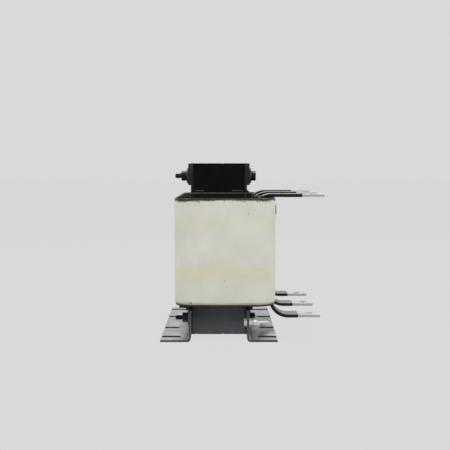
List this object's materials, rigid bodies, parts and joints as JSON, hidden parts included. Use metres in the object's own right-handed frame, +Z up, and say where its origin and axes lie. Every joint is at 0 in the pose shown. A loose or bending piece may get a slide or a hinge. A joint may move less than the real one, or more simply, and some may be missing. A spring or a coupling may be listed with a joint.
{
  "type": "line choke",
  "caption": "Three-phase iron-core line choke with wrapped foil coils between two yokes, slotted angle feet, flat bar terminals and an earth stud.",
  "frame": {"origin": "on the floor, midway between the two feet and under the middle leg, which is the centre of the pattern of fixing slots", "axes": "+X across the choke towards the lead bars, +Y along the row of coils away from the earth terminal, +Z up"},
  "size_m": [0.1899, 0.2564, 0.205],
  "materials": {
    "grey_core": "satin",
    "black_core": "gloss",
    "black_steel": "satin",
    "galvanised_sheet": "satin",
    "zinc_steel": "bright",
    "tinned_bar": "satin",
    "winding_foil": "satin",
    "black_sleeve": "satin",
    "former_plastic": "satin",
    "liner_board": "matte",
    "gap_board": "matte",
    "strip_laminate": "satin",
    "wrap_tape": "matte"
  },
  "bodies": {
    "choke": {"bottom_yoke": "grey_core", "top_yoke": "black_core", "core_leg_front": "grey_core", "core_leg_middle": "grey_core", "core_leg_rear": "grey_core", "air_gap_plates": "gap_board", "top_strip_left": "strip_laminate", "top_strip_right": "strip_laminate", "foot_strip_left": "strip_laminate", "foot_strip_right": "strip_laminate", "clamp_bar_left": "black_steel", "clamp_bar_right": "black_steel", "foot_left": "galvanised_sheet", "foot_right": "galvanised_sheet", "winding_former_front": "former_plastic", "winding_former_middle": "former_plastic", "winding_former_rear": "former_plastic", "lead_packing_front": "former_plastic", "lead_packing_middle": "former_plastic", "lead_packing_rear": "former_plastic", "foil_winding_front": "winding_foil", "foil_winding_middle": "winding_foil", "foil_winding_rear": "winding_foil", "interleaf_sheet_front": "liner_board", "interleaf_sheet_middle": "liner_board", "interleaf_sheet_rear": "liner_board", "coil_liner_front": "liner_board", "coil_liner_middle": "liner_board", "coil_liner_rear": "liner_board", "coil_wrap_front": "wrap_tape", "coil_wrap_middle": "wrap_tape", "coil_wrap_rear": "wrap_tape", "start_bar_front": "tinned_bar", "start_bar_middle": "tinned_bar", "start_bar_rear": "tinned_bar", "start_sleeve_front": "black_sleeve", "start_sleeve_middle": "black_sleeve", "start_sleeve_rear": "black_sleeve", "finish_bar_front": "tinned_bar", "finish_bar_middle": "tinned_bar", "finish_bar_rear": "tinned_bar", "finish_sleeve_front": "black_sleeve", "finish_sleeve_middle": "black_sleeve", "finish_sleeve_rear": "black_sleeve", "yoke_bolts": "black_steel", "yoke_nuts": "black_steel", "yoke_washers": "black_steel", "insulating_washers": "strip_laminate", "bolt_tubes": "gap_board", "earth_bolt": "zinc_steel", "earth_lock_washer": "zinc_steel", "earth_fixing_nut": "zinc_steel", "earth_inner_washer": "zinc_steel"},
    "loose_washers": {"earth_outer_washer": "zinc_steel", "earth_spring_washer": "zinc_steel"},
    "earth_nut": {"earth_nut": "zinc_steel"}
  },
  "joints": [
    {"name": "earth_nut_travel", "type": "slide", "parent": "choke", "child": "loose_washers", "axis": [1, 0, 0], "range_m": [0, 0.008]},
    {"name": "earth_nut_turn", "type": "hinge", "parent": "loose_washers", "child": "earth_nut", "pos_m": [0.0452, -0.1125, 0.0216], "axis": [1, 0, 0], "range_deg": [0, 3600]}
  ],
  "couplings": [
    {"joint": "earth_nut_turn", "follows": "earth_nut_travel", "rad_per_m": 7854}
  ]
}
